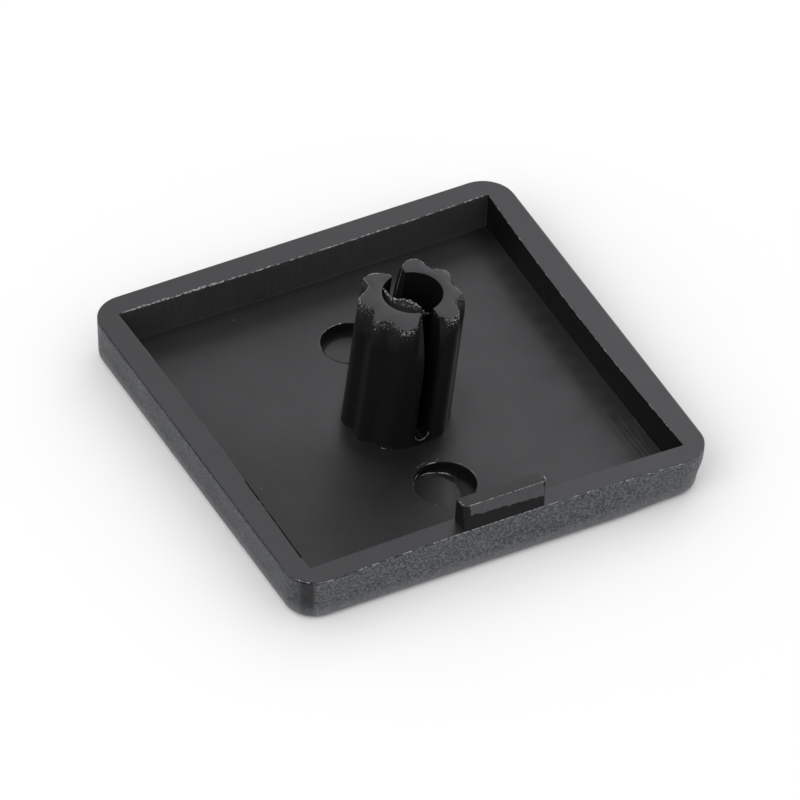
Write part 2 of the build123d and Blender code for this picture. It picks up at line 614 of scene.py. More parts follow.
def add_tray_row(row, skin):
    """Add a row of 3-D points to the tray. skin is the finish of the band below it."""
    add_row(tray_points, tray_rows, row)
    row_skins.append(skin)


def corner_wear(x, y):
    """Return how far the foot of the near right corner is worn back here, in mm."""
    return FOOT_WEAR * smoothstep(*WEAR_BAND, x - y)


for share in (0.02, 0.3, 0.6, 0.85):
    add_tray_row([(x, y, 0.0) for x, y in square_loop(round_centre * share, CORNER * share)],
                 GRAINED)
for step in range(9):
    angle = math.radians(-90 + (90 - DRAFT_DEGREES) * step / 8)
    half = round_centre + SHOW_ROUND * math.cos(angle)
    height = SHOW_ROUND + SHOW_ROUND * math.sin(angle)
    row = []
    for x, y in square_loop(half, CORNER - (top_half - half)):
        shrink = 1 - corner_wear(x, y) / half
        row.append((x * shrink, y * shrink, height))
    add_tray_row(row, GRAINED)
print("rows to the top of the show edge:", len(tray_rows))

# %% Rows of the outer side
NEAR_BOW = 0.5
SPARK_DEPTH = 0.0012
GROOVE_DEPTH, GROOVE_Z, GROOVE_WIDTH = 0.10, 4.82, 0.03
SIDE_SHARES = [step / 13 for step in range(1, 13)] + [0.955, 0.97, 0.978, 0.985, 0.992, 1.0]
side_start = tray_points[-1][2]


def parting_groove(x, y, height):
    """Return how deep the broken groove under the left parting edge is here, in mm."""
    if x > 3.0 - HALF or y > HALF - 3.5:
        return 0.0
    dashes = smoothstep(-0.1, 0.1, wander(x, y, 7.3, 0.9))
    return GROOVE_DEPTH * dashes * math.exp(-(((height - GROOVE_Z) / GROOVE_WIDTH) ** 2))


for t in SIDE_SHARES:
    height = side_start + (RIM_Z - RIM_ROUND - side_start) * t
    half = side_foot + height * SIDE_DRAFT
    row = []
    for x, y in square_loop(half, CORNER - (top_half - half), (NEAR_BOW * t * t, 0, 0, 0)):
        cut = (parting_groove(x, y, height)
               + corner_wear(x, y) * smoothstep(*WEAR_HEIGHTS, height))
        shrink = 1 - SPARK_DEPTH * abs(wander(x, y, height, 1.1)) - cut / half
        row.append((x * shrink, y * shrink, height))
    add_tray_row(row, GRAINED)
print("rows to the parting edge:", len(tray_rows))

# %% [markdown]
# ## Rim
# The mould parts at the top of the outer side, so that edge is not clean. It has a
# slight round, nibbled where flash broke away. The rim itself is flat and smooth but
# for a groove, scored as the part was drawn, by the near half of the left wall.

# %% Rows of the parting edge
edge_bows = (NEAR_BOW, 0, 0, 0)


def nibble(x, y):
    """Return how deep the parting edge is nibbled at this place, in mm."""
    near_side = smoothstep(2.4, 1.2, y + HALF) if y < 0 else 0.0
    chips = max(0.0, wander(x, y, 3.1, 0.55) - 0.12)
    return (0.10 * chips + 0.012 * abs(wander(x, y, 9.7, 0.25))) * near_side + 0.002


for step in range(1, 5):
    angle = math.radians(90 * step / 4)
    inset = RIM_ROUND * (1 - math.cos(angle))
    height = RIM_Z - RIM_ROUND * (1 - math.sin(angle))
    row = []
    for x, y in square_loop(top_half - inset, CORNER - inset, edge_bows):
        bite = nibble(x, y) * math.sin(2 * angle) + nibble(x, y) * 0.5
        shrink = 1 - bite / HALF
        row.append((x * shrink, y * shrink, height - bite * 0.6))
    add_tray_row(row, GRAINED)
print("rows to the rim:", len(tray_rows))

# %% Rows of the rim
INNER_ROUND = 0.012
LEFT_LIP = -19.7
RIM_SHARES = (0.06, 0.3, 0.6, 0.9, 0.915, 0.93, 0.95, 0.968, 1.0)
mouth_bows = (0.3, 0.45, 0.25, 0.2)
rim_edge = square_loop(top_half - RIM_ROUND, CORNER - RIM_ROUND, edge_bows)
mouth_edge = square_loop(MOUTH_HALF + INNER_ROUND, POCKET_CORNER, mouth_bows)


def mouth_groove(x, y, share):
    """Return how deep the drag groove along the left mouth is here, in mm."""
    if x > LEFT_LIP or not 0.94 < share < 0.975:
        return 0.0
    stretch = smoothstep(-5.5, -8.0, y) * smoothstep(-19.6, -18.4, y)
    return GROOVE_DEPTH * stretch * smoothstep(-0.45, -0.1, wander(x, y, 2.2, 0.8))


for share in RIM_SHARES:
    row = []
    for (x0, y0), (x1, y1) in zip(rim_edge, mouth_edge):
        x, y = x0 + (x1 - x0) * share, y0 + (y1 - y0) * share
        height = RIM_Z - 0.004 + 0.004 * wander(x, y, 0.0, 6.0)
        row.append((x, y, height - mouth_groove(x, y, share)))
    add_tray_row(row, SATIN)
print("rows to the mouth:", len(tray_rows))

# %% [markdown]
# ## Pocket
# The pocket walls have a slight draft and meet the floor in a crisp inside corner.
# The upper inside edge was trimmed and keeps small nicks, which catch the light.

# %% Rows of the pocket wall
FLOOR_ROUND = 0.012
WALL_TOP = RIM_Z - INNER_ROUND - 0.1
floor_bows = (0.12, 0.15, 0.1, 0.08)


def nick(x, y):
    """Return how deep the pocket's upper edge is nicked at this place, in mm."""
    nicks = max(0.0, wander(x, y, 5.5, 0.7) - 0.25)
    return 0.06 * nicks + 0.004 * abs(wander(x, y, 2.0, 0.2))


for share, skin in ((0.5, SATIN), (1.0, DRAWN)):
    angle = math.radians(90 * share)
    out = INNER_ROUND * (1 - math.sin(angle))
    row = []
    for x, y in square_loop(MOUTH_HALF + out, POCKET_CORNER, mouth_bows):
        bite = nick(x, y)
        grow = 1 + bite / MOUTH_HALF
        row.append((x * grow, y * grow, RIM_Z - INNER_ROUND * (1 - math.cos(angle)) - bite))
    add_tray_row(row, skin)
for step in range(1, 11):
    t = step / 10
    height = WALL_TOP - (WALL_TOP - FLOOR_Z - FLOOR_ROUND) * t
    half = MOUTH_HALF + (FLOOR_HALF - MOUTH_HALF) * t
    bows = [a + (b - a) * t for a, b in zip(mouth_bows, floor_bows)]
    add_tray_row([(x, y, height) for x, y in square_loop(half, POCKET_CORNER, bows)], DRAWN)
for step in range(1, 4):
    angle = math.radians(90 * step / 3)
    half = FLOOR_HALF - FLOOR_ROUND * (1 - math.cos(angle))
    height = FLOOR_Z + FLOOR_ROUND * (1 - math.sin(angle))
    add_tray_row([(x, y, height) for x, y in square_loop(half, 0.05, floor_bows)], DRAWN)
print("rows to the floor:", len(tray_rows))

# %% [markdown]
# ## Ejector marks
# Two pins push the part out of the mould, and each leaves a round recess in the
# floor. One pin struck twice: a second, deeper round sits a little to the side of
# the first, so its edge shows as an arc inside it. Each mark is a patch of rings
# with a height for every point, set into a hole in the floor.

# %% Sizes of the marks
FAR_MARK, FAR_RADIUS, FAR_DEPTH = (0.25, 10.6), 2.9, 0.93
NEAR_MARK, NEAR_RADIUS, NEAR_DEPTH = (-0.86, -11.18), 3.06, 0.82
STRIKE, STRIKE_RADIUS, STRIKE_STEP = (-0.8, -0.1), 2.86, 0.14
SOFT_SIDE, HARD_EDGE, SOFT_EDGE = math.radians(241), 0.03, 0.06
PATCH_RADIUS = 3.45
PATCH_TURNS = 240
PATCH_STEPS = ([0.02] + [0.1 * i for i in range(1, 18)] + [0.05 * i for i in range(36, 51)]
               + [2.55, 2.62, 2.68, 2.73, 2.77, 2.8] + [2.82 + 0.02 * i for i in range(14)]
               + [3.12, 3.16, 3.2, 3.25])
print("rings in a mark:", len(PATCH_STEPS) + 1)

# %% Patches for the marks
def mark_depth(x, y, full, deep, twice):
    """Return the depth at a place from a mark's centre, for its full radius and depth."""
    radius = math.hypot(x, y)
    edge = HARD_EDGE + SOFT_EDGE * max(0.0, math.cos(math.atan2(y, x) - SOFT_SIDE))
    depth = deep * (1 - smoothstep(full - edge, full + edge, radius))
    if twice:
        off = math.hypot(x - STRIKE[0], y - STRIKE[1])
        inside = 1 - smoothstep(STRIKE_RADIUS - 0.08, STRIKE_RADIUS, off)
        inside = max(inside, smoothstep(-0.3, 0.3, 0.81 * (x - 1.35) - 0.58 * (y - 0.2)))
        inside *= 1 - smoothstep(full - 0.05, full + 0.02, radius)
        depth += STRIKE_STEP * inside
    ring = math.exp(-(((radius - (full + 0.16)) / 0.045) ** 2))
    return depth - 0.02 * ring * (0.5 + 0.5 * wander(x, y, 1.0, 0.8))


def add_mark(centre, full, deep, twice=False):
    """Add a mark's patch to the tray's points and return its faces and its hole."""
    rows = []
    for radius in [step * (full / FAR_RADIUS) for step in PATCH_STEPS] + [PATCH_RADIUS]:
        ring = []
        for step in range(PATCH_TURNS):
            x, y = on_circle(2 * math.pi * step / PATCH_TURNS, radius)
            depth = mark_depth(x, y, full, deep, twice) if radius < PATCH_RADIUS else 0.0
            ring.append((centre[0] + x, centre[1] + y, FLOOR_Z - depth))
        add_row(tray_points, rows, ring)
    return skin_rows(rows) + [tuple(rows[0])], rows[-1]


far_faces, far_hole = add_mark(FAR_MARK, FAR_RADIUS, FAR_DEPTH)
near_faces, near_hole = add_mark(NEAR_MARK, NEAR_RADIUS, NEAR_DEPTH, twice=True)
print("mark patches:", len(far_faces) + len(near_faces), "faces")

# %% [markdown]
# ## Peg outline
# Seen from above, the peg is a ring of ridges with flutes between them. Two outlines
# give the whole peg: one for the body and one for the worn tip, where the ridges
# differ and the lips of the split are rubbed back to the bore. Each is a short list
# of crests and hollows, an angle and a radius each, joined by an easy curve.

# %% Section of the peg
PEG_DRAFT = math.tan(math.radians(0.3))
BORE = 2.95
SLOT = 0.72
SLOT_FLOOR = 1.6
BODY_OUTLINE = ((17, 5.35), (36, 4.75), (57, 5.35), (88, 5.2), (107, 5.25), (130, 5.35),
                (143, 4.8), (160, 5.3), (172, 5.3), (186, 4.9), (203, 5.4), (217, 5.0),
                (232, 5.42), (252, 5.25), (268, 5.15), (285, 5.25), (298, 5.4), (319, 5.1),
                (336, 5.32), (355, 5.0))
TIP_OUTLINE = ((2, 4.13), (17, 4.52), (27, 4.2), (36, 3.91), (47, 4.3), (58, 4.84),
               (69, 4.5), (77, 3.95), (83, 3.5), (103, 3.4), (109, 3.85), (119, 4.6),
               (130, 5.0), (136, 4.5), (143, 4.27), (151, 4.45), (164, 5.17), (176, 4.86),
               (186, 4.4), (195, 4.95), (203, 5.45), (211, 4.82), (217, 4.63), (224, 4.9),
               (234, 5.55), (243, 5.25), (249, 4.5), (254, 3.5), (277, 3.2), (281, 3.9),
               (285, 4.85), (293, 5.24), (303, 4.98), (314, 4.3), (321, 4.24), (333, 4.62),
               (346, 4.25), (355, 3.99))
body_radii = [radius for _, radius in BODY_OUTLINE]
print("body radius, mm:", min(body_radii), "to", max(body_radii))

# %% Radius of an outline
def outline_radius(outline, angle):
    """Return the radius of an outline at an angle in degrees, on a smooth curve."""
    count = len(outline)
    angle = (angle - outline[0][0]) % 360 + outline[0][0]
    knots = [(outline[i % count][0] + 360 * (i // count), outline[i % count][1])
             for i in range(-1, count + 2)]
    for before, low, high, after in zip(knots, knots[1:], knots[2:], knots[3:]):
        if low[0] <= angle <= high[0]:
            span = high[0] - low[0]
            t = (angle - low[0]) / span
            slope_low = (high[1] - before[1]) / (high[0] - before[0]) * span
            slope_high = (after[1] - low[1]) / (after[0] - low[0]) * span
            rise = high[1] - low[1]
            return (low[1] + slope_low * t + (3 * rise - 2 * slope_low - slope_high) * t ** 2
                    + (slope_low + slope_high - 2 * rise) * t ** 3)
    return outline[0][1]


print("tip radius at a ridge, mm:", round(outline_radius(TIP_OUTLINE, 60), 2))

# %% [markdown]
# ### Worn tip
# The peg keeps its body's outline for most of its height and runs over to the tip's
# outline near the top. The lips of the split begin to wear lower down than the ridges
# do. Tip and ridges end in a rough, crumbled edge.

# %% Radius of the peg at an angle and a height
FAR_LIP, NEAR_LIP = 93, 264
WEAR_START = 10.8


def lip_share(angle, lip, low, high):
    """Return how much a place belongs to a lip of the split, from 1 down to 0."""
    return 1 - smoothstep(low, high, abs((angle - lip + 180) % 360 - 180))


def worn_share(angle, height, body):
    """Return how far the outline has gone from the body's to the tip's, 0 to 1."""
    far_lip = lip_share(angle, FAR_LIP, 10, 24)
    near_lip = lip_share(angle, NEAR_LIP, 12, 26)
    start = WEAR_START - 4.8 * far_lip - 0.8 * near_lip
    share = max(0.0, (height - start) / (TIP_Z - start))
    crest = smoothstep(4.9, 5.3, body) * (1 - max(far_lip, near_lip))
    return share ** (2 + 5 * crest - 1.28 * far_lip - 0.34 * near_lip)


def peg_radius_at(angle, height):
    """Return the outer radius with draft, the worn tip and its crumbled edge."""
    body = outline_radius(BODY_OUTLINE, angle) - (height - FLOOR_Z) * PEG_DRAFT
    tip = outline_radius(TIP_OUTLINE, angle)
    radius = body + (tip - body) * worn_share(angle, height, body)
    radius -= 0.06 * smoothstep(16.0, 16.22, height)
    x, y = polar(radius, angle)
    rough = smoothstep(14.0, 16.0, height)
    return radius - rough * 0.05 * (wander(x, y, height, 0.35) + 0.5 * wander(x, y, height, 0.16))


print("radius by the far lip, foot and tip, mm:",
      [round(peg_radius_at(FAR_LIP, z), 2) for z in (FLOOR_Z, TIP_Z)])

# %% [markdown]
# ## Peg
# Each half is a C-shaped bar: an outer sheet, a bore sheet, two faces on the split
# and a worn tip. At the foot the split ends in a half round, which is made by
# closing the faces towards the middle plane. Below it a few rings of points flare
# into the floor.

# %% Levels of the peg and the width of its split
levels = [SLOT_FLOOR + SLOT * (1 - math.cos(math.radians(15 * k))) for k in range(7)]
levels += [2.6 + 0.5 * k for k in range(25)] + [14.9, 15.15, 15.35, 15.5, 15.6, 15.7]
levels += [15.8, 15.88, 15.96, 16.03, 16.1, 16.16]


def slot_half(height):
    """Return half the width of the split at a height."""
    if height >= SLOT_FLOOR + SLOT:
        return SLOT
    return math.sqrt(max(0.0, SLOT ** 2 - (SLOT_FLOOR + SLOT - height) ** 2))


print("levels:", len(levels), "from", levels[0], "to", levels[-1])

# %% Halves of the peg
PER_HALF, PER_WALL = 170, 5


def half_peg(mirror):
    """Return a half's points, faces and foot row. mirror is 1 for the right, -1 left."""
    points, outer, inner, walls = [], [], [], ([], [])
    middle, lip_angle = (0, 90) if mirror > 0 else (180, 270)
    shares = [-1 + 2 * i / PER_HALF for i in range(PER_HALF + 1)]
    for height in levels:
        open_half = slot_half(height)
        start, bore_start = (math.degrees(math.acos(min(1.0, open_half / radius)))
                             for radius in (peg_radius_at(lip_angle, height), BORE))
        turns = [middle + start * t for t in shares]
        ring = [(*polar(peg_radius_at(turn, height), turn), height) for turn in turns]
        for end in (0, -1):
            ring[end] = (mirror * open_half, ring[end][1], height)
        add_row(points, outer, ring)
        add_row(points, inner, [(*polar(BORE, middle + bore_start * t), height)
                                for t in shares])
        for wall, end in zip(walls, (0, -1)):
            low, high = Vector(points[outer[-1][end]]), Vector(points[inner[-1][end]])
            add_row(points, wall, [tuple(low.lerp(high, k / PER_WALL))
                                   for k in range(1, PER_WALL)])
            wall[-1] = [outer[-1][end], *wall[-1], inner[-1][end]]
    top = [outer[-1]]
    for k in range(1, PER_WALL):
        face_z = TIP_Z - 0.04 + 0.04 * smoothstep(0.0, 0.4, k / PER_WALL) * 0.95
        spots = [Vector(points[low]).lerp(Vector(points[high]), k / PER_WALL)
                 for low, high in zip(outer[-1][1:-1], inner[-1][1:-1])]
        add_row(points, top, [(spot.x, spot.y, face_z) for spot in spots])
        top[-1] = [walls[0][-1][k], *top[-1], walls[1][-1][k]]
    top.append(inner[-1])
    faces = []
    for rows in (outer, inner, *walls, top):
        faces += skin_rows(rows, closed=False)
    return points, faces, outer[0]


right_points, right_faces, right_foot = half_peg(1)
left_points, left_faces, left_foot = half_peg(-1)
print("faces in the two halves:", len(right_faces) + len(left_faces))

# %% Foot of the peg
FOOT_ROUND, FOOT_SINK = 0.02, 0.12
BORE_POINTS = 120
foot_line = [right_points[i] for i in right_foot[:-1]] + [left_points[i] for i in left_foot[:-1]]
foot_points, foot_rows = [], []
for step in range(6):
    angle = math.radians(90 * step / 5)
    flare = FOOT_ROUND * (1 - math.cos(angle))
    height = FLOOR_Z + FOOT_ROUND * (1 - math.sin(angle)) - FOOT_SINK if step else SLOT_FLOOR
    ring = []
    for x, y, _ in foot_line:
        grow = 1 + flare / math.hypot(x, y)
        ring.append((x * grow, y * grow, height))
    add_row(foot_points, foot_rows, ring)
foot_faces = skin_rows(foot_rows)
bore_floor = []
add_row(foot_points, bore_floor, [(*on_circle(2 * math.pi * i / BORE_POINTS, BORE), SLOT_FLOOR)
                                  for i in range(BORE_POINTS)])
foot_faces.append(tuple(bore_floor[0]))
print("faces in the foot:", len(foot_faces))

# %% [markdown]
# ### Lean
# A split peg is still soft when it leaves the steel, and this one was drawn over a
# little as it left. Each height is moved sideways by its share, foot included.

# %% Lean the peg and make it
FOOT_SHIFT = (-0.35, 0.0)
TIP_SHIFT = (0.8, -0.4)


def shift_at(height):
    """Return how far the peg is moved sideways at a height, in x and y."""
    share = (height - FLOOR_Z) / (TIP_Z - FLOOR_Z)
    return [foot + (tip - foot) * share for foot, tip in zip(FOOT_SHIFT, TIP_SHIFT)]


def lean(x, y, height):
    """Return a peg point moved sideways by the lean at its height."""
    shift_x, shift_y = shift_at(height)
    return x + shift_x, y + shift_y, height


def lean_polar(radius, degrees, height):
    """Return the leaned point at a radius and an angle from the peg's axis."""
    return lean(*polar(radius, degrees), height)


peg_points, peg_faces = [], []
for part_points, part_faces in ((right_points, right_faces), (left_points, left_faces),
                                (foot_points, foot_faces)):
    peg_faces += [tuple(i + len(peg_points) for i in face) for face in part_faces]
    peg_points += [lean(*point) for point in part_points]
peg = make_piece("peg", peg_points, peg_faces, [peg_black, smooth_black, shaded_black])

# %% Finishes of the peg
PEG_TOP, PEG_INSIDE = 1, 2


def peg_finish(x, y, z, level, skin):
    """Return a peg face's finish: its top, its bore and split, or its flank."""
    shift_x, shift_y = shift_at(z)
    x, y = x - shift_x, y - shift_y
    if z > TIP_Z - 0.1 and level > 0.5:
        return PEG_TOP
    # The bore, the split and the lips on the split's near side take the shaded skin, as painted
    # shade.
    in_split = abs(x) < SLOT + (0.35 if y < 0 else 0.01)
    return PEG_INSIDE if in_split or math.hypot(x, y) < BORE + 0.02 else skin


dress(peg, peg_finish)

# %% [markdown]
# ## Floor of the pocket
# The floor is one face with three holes: two for the marks and one for the foot of
# the peg. It is flat but for a shallow sink round the foot, where the thick plastic
# shrank as it cooled. A constrained triangulation fills it, so that it joins its
# neighbours point to point and leaves no seam.

# %% Outlines of the floor and its holes
DIP_DEPTH = 0.11
DIP_START, DIP_END = 5.0, 7.7


def from_foot(x, y):
    """Return how far a place is from the middle of the peg's foot, in mm."""
    return math.hypot(x - FOOT_SHIFT[0], y - FOOT_SHIFT[1])


def from_marks(x, y):
    """Return how far a place is from the middle of the nearer mark, in mm."""
    return min(math.hypot(x - mark[0], y - mark[1]) for mark in (FAR_MARK, NEAR_MARK))


def floor_point(x, y):
    """Return a point of the floor, which sinks a little round the peg's foot."""
    dip = DIP_DEPTH * (1 - smoothstep(DIP_START, DIP_END, from_foot(x, y)))
    return x, y, FLOOR_Z - dip


outlines = [tray_rows[-1], far_hole, near_hole]
foot_ring = [lean(*foot_points[i]) for i in foot_rows[-1]]
add_row(tray_points, outlines, [floor_point(x, y) for x, y, _ in foot_ring])
flat, flat_edges, owner = [], [], []
for outline in outlines:
    first, count = len(flat), len(outline)
    flat += [Vector(tray_points[number][:2]) for number in outline]
    owner += outline
    flat_edges += [(first + i, first + (i + 1) % count) for i in range(count)]
print("points on the outlines:", len(flat))

# %% Points inside the floor
GRID = 1.3
WALL_GAP, MARK_GAP, PEG_GAP = 0.8, 3.8, 8.2
DIP_RINGS, DIP_TURNS = 7, 90


def add_floor_point(x, y):
    """Add a point inside the floor, to the tray and to the flat copy that is filled."""
    owner.append(len(tray_points))
    tray_points.append(floor_point(x, y))
    flat.append(Vector((x, y)))


cells_across = int(2 * (FLOOR_HALF - 1) / GRID)
for row in range(cells_across):
    for column in range(cells_across):
        x = -FLOOR_HALF + 1 + (column + 0.5 * (row % 2)) * GRID
        y = -FLOOR_HALF + 1 + row * GRID
        off_peg = math.hypot(x, y) > PEG_GAP and from_marks(x, y) > MARK_GAP
        if off_peg and max(abs(x), abs(y)) < FLOOR_HALF - WALL_GAP:
            add_floor_point(x, y)
for ring in range(DIP_RINGS):
    for step in range(DIP_TURNS):
        turn = 2 * math.pi * (step + 0.5 * (ring % 2)) / DIP_TURNS
        x, y = on_circle(turn, 5.75 + 0.3 * ring, FOOT_SHIFT)
        if from_marks(x, y) > PATCH_RADIUS + 0.2:
            add_floor_point(x, y)
print("points in the floor:", len(flat))

# %% Fill the floor
def in_a_hole(x, y):
    """Return whether a place on the floor lies in one of its holes."""
    angle = math.degrees(math.atan2(y - FOOT_SHIFT[1], x - FOOT_SHIFT[0]))
    foot = outline_radius(BODY_OUTLINE, angle) + FOOT_ROUND - 0.01
    return from_marks(x, y) < PATCH_RADIUS - 0.005 or from_foot(x, y) < foot


filled, _, triangles, sources, _, _ = geometry.delaunay_2d_cdt(flat, flat_edges, [], 1, 1e-6)
floor_faces = []
for triangle in triangles:
    middle = sum((filled[i] for i in triangle), Vector((0, 0))) / 3
    if not in_a_hole(middle.x, middle.y):
        floor_faces.append(tuple(owner[sources[i][0]] for i in triangle))
print("floor triangles:", len(floor_faces))

# %% Make the tray
tray_faces, tray_slots = [], []
bands = [(skin_rows([low, high]), skin)
         for low, high, skin in zip(tray_rows, tray_rows[1:], row_skins[1:])]
for faces, skin in bands + [([tuple(tray_rows[0])], GRAINED), (far_faces, SMOOTH),
                            (near_faces, SMOOTH), (floor_faces, SMOOTH)]:
    tray_faces += faces
    tray_slots += [skin] * len(faces)
tray = make_piece("tray", tray_points, tray_faces,
                  [smooth_black, grained_black, satin_black, drawn_black, shaded_black],
                  smooth=50.0, face_slots=tray_slots)

# %% [markdown]
# ### Shaded places of the tray
# A few places take the shaded skin as painted shade: the left and right walls, turned
# from the light, the groove by the left mouth, and in the marks every steep step and
# the ledge beyond each pin's own round, which the marks' walls shadow. The floors of
# the marks copy the pins and are satin.

# %% Finishes of the tray
strike_centre = (NEAR_MARK[0] + STRIKE[0], NEAR_MARK[1] + STRIKE[1])
FAR_PIN, FAR_PIN_RADIUS = (-0.1, 10.0), 2.5


def tray_finish(x, y, z, level, skin):
    """Return a tray face's finish from its place, how level it is and its band's skin."""
    # Painted shade on the left and right walls and in the groove by the left mouth.
    side_wall = skin == DRAWN and abs(x) > abs(y)
    in_groove = (skin == SATIN and x < LEFT_LIP and y < -5
                 and RIM_Z - 0.3 < z < RIM_Z - 0.02)
    if side_wall or in_groove:
        return SHADED
    if from_marks(x, y) > PATCH_RADIUS or z > FLOOR_Z - 0.03:
        return skin
    off_x, off_y = x - strike_centre[0], y - strike_centre[1]
    from_strike = math.hypot(off_x, off_y) + 0.08 * wander(x, y, 5.0, 0.3)
    to_right = smoothstep(0.35, 0.9, off_x / max(from_strike, 0.1))
    on_ledge = y < 0 and from_strike > STRIKE_RADIUS - 0.1 - 0.55 * to_right
    pin_edge = FAR_PIN_RADIUS + 0.1 * wander(x, y, 6.0, 0.4)
    beyond_pin = y > 10.8 and math.hypot(x - FAR_PIN[0], y - FAR_PIN[1]) > pin_edge
    # Painted shade on the steep steps and the ledges in the marks.
    return SHADED if on_ledge or beyond_pin or level < 0.8 else SATIN


dress(tray, tray_finish)

# %% [markdown]
# ## Tab
# The tab is a small upright block on the near rim. It is drafted a little, its edges
# are barely rounded, and its foot is set into the rim. Towards the foot its front
# flares out and its right end tapers in, and one front corner is worn round. Its ends
# and its lower front take the darker shaded skin, as painted shade.

# %% Rings of the tab
TAB_X = (-4.47, 4.52)
TAB_Y = (-21.4, -19.85)
TAB_TOP = RIM_Z + 2.6
TAB_FOOT = RIM_Z - 0.05
TAB_LEVEL = 0.06
TAB_EDGE = 0.12
WORN_CORNER = 0.62
FRONT_FLARE = 0.5
RIGHT_TAPER = 0.4


def tab_ring(height, inset, edge, wobble=0.0):
    """Return a ring of points round the tab at a height. One front corner is worn round."""
    down = max(0.0, (TAB_TOP - height) / (TAB_TOP - TAB_FOOT))
    front = TAB_Y[0] - FRONT_FLARE * down
    right = TAB_X[1] - RIGHT_TAPER * down
    middle = ((TAB_X[0] + right) / 2, (front + TAB_Y[1]) / 2)
    half_x = (right - TAB_X[0]) / 2 - inset
    half_y = (TAB_Y[1] - front) / 2 - inset
    worn = WORN_CORNER * (1 - 0.75 * down)
    arcs = []
    for quarter, (sign_x, sign_y, radius) in enumerate(
            ((1, 1, edge), (-1, 1, edge), (-1, -1, worn), (1, -1, edge))):
        centre = (middle[0] + sign_x * (half_x - radius), middle[1] + sign_y * (half_y - radius))
        arcs.append([(*on_circle(math.pi / 2 * (quarter + step / 8), radius, centre), height)
                     for step in range(9)])
    points = []
    for quarter, arc in enumerate(arcs):
        start, end = Vector(arc[-1]), Vector(arcs[(quarter + 1) % 4][0])
        count = 60 if quarter in (0, 2) else 10
        points += arc + [tuple(start.lerp(end, step / count)) for step in range(1, count)]
    if wobble:
        points = [(x, y, z - wobble * abs(wander(x, y, 4.0, 0.5))) for x, y, z in points]
    return points


# %% Levels of the tab
tab_levels = [(TAB_FOOT, -0.03, TAB_EDGE, 0)]
tab_levels += [(RIM_Z + TAB_LEVEL + TAB_LEVEL * k, 0.001 * k, TAB_EDGE, 0) for k in range(41)]
tab_levels += [(TAB_TOP - 0.03, 0.045, 0.11, 0.02), (TAB_TOP, 0.09, 0.1, 0.02),
               (TAB_TOP, 0.2, 0.1, 0.0), (TAB_TOP, 0.3, 0.1, 0.0)]
tab_points, tab_rows = [], []
for height, inset, edge, wobble in tab_levels:
    add_row(tab_points, tab_rows, tab_ring(height, inset, edge, wobble))
print("tab rings:", len(tab_rows), "of", len(tab_rows[0]), "points")

# %% Make the tab
tab_faces = skin_rows(tab_rows) + [tuple(tab_rows[-1]), tuple(reversed(tab_rows[0]))]
tab = make_piece("tab", tab_points, tab_faces, [smooth_black, shaded_black, drawn_black],
                 smooth=35.0)

# %% Finishes of the tab
# The tab's ends and lower front take the shaded skin, as painted shade.
TAB_SHADED, TAB_DRAWN = 1, 2
SHADED_BELOW = 6.3


def tab_finish(x, y, z, level, skin):
    """Return a tab face's finish: its top, its ends and foot in painted shade, or its upper
    sides.
    """
    if abs(level) >= 0.5:
        return skin
    ragged = SHADED_BELOW - 0.05 * x + 0.16 * wander(x, y, z, 0.9) + 0.1 * wander(x, z, y, 0.3)
    at_end = x < TAB_X[0] + 0.8 + 0.2 * wander(x, y, z, 0.4) or x > TAB_X[1] - 0.3
    return TAB_SHADED if at_end or z < ragged else TAB_DRAWN


dress(tab, tab_finish)

# %% [markdown]
# ## Torn skin in the bore
# The pin that forms the bore did not quite reach the mould's end, and left a thin
# skin over the mouth. Most of it was pushed out. What is left hangs from the near
# left of the mouth as a ragged half moon, dipped below the tip with a curled edge.

# %% Points of the torn skin
TORN_EDGE = ((133, 2.93), (142, 2.47), (159, 2.16), (174, 1.85), (184, 1.3), (197, 1.0),
             (215, 0.88), (233, 0.84), (248, 1.08), (257, 1.36), (264, 1.88), (268, 2.93))
TORN_STEPS = 130
TORN_RINGS = 9
TORN_ROOT = BORE + 0.02


def torn_reach(angle):
    """Return how near the axis the torn edge comes at this angle, in mm."""
    for (low, near), (high, far) in zip(TORN_EDGE, TORN_EDGE[1:]):
        if low <= angle <= high:
            return near + (far - near) * smoothstep(low, high, angle)
    return BORE


def torn_point(step, share, side):
    """Return a point of the torn skin. share runs inwards, side is 1 above, -1 below."""
    angle = TORN_EDGE[0][0] + (TORN_EDGE[-1][0] - TORN_EDGE[0][0]) * step / TORN_STEPS
    edge = torn_reach(angle) + 0.10 * wander(angle * 0.05, 1.0, 2.0, 0.22)
    x, y = polar(TORN_ROOT + (edge - BORE - 0.02) * share, angle)
    dip = 0.6 * smoothstep(0.0, 0.22, share) - 0.42 * smoothstep(0.3, 0.75, share)
    crumple = 0.11 * wander(x, y, 0.5, 0.3) * share
    sheet = 0.035 * side * (1 - 0.6 * share)
    return lean(x, y, TIP_Z - 0.1 - dip + crumple + sheet)


torn_points, torn_sheets = [], ([], [])
for rows, side in zip(torn_sheets, (1, -1)):
    for ring in range(TORN_RINGS + 1):
        add_row(torn_points, rows, [torn_point(step, ring / TORN_RINGS, side)
                                    for step in range(TORN_STEPS + 1)])
print("points in the torn skin:", len(torn_points))

# %% Make the torn skin
upper, lower = torn_sheets
torn_strips = [upper, lower, [upper[-1], lower[-1]], [upper[0], lower[0]]]
torn_strips += [[[ring[end] for ring in sheet] for sheet in torn_sheets] for end in (0, -1)]
torn_faces = []
for strip in torn_strips:
    torn_faces += skin_rows(strip, closed=False)
make_piece("torn_skin", torn_points, torn_faces, [torn_black], smooth=60.0)

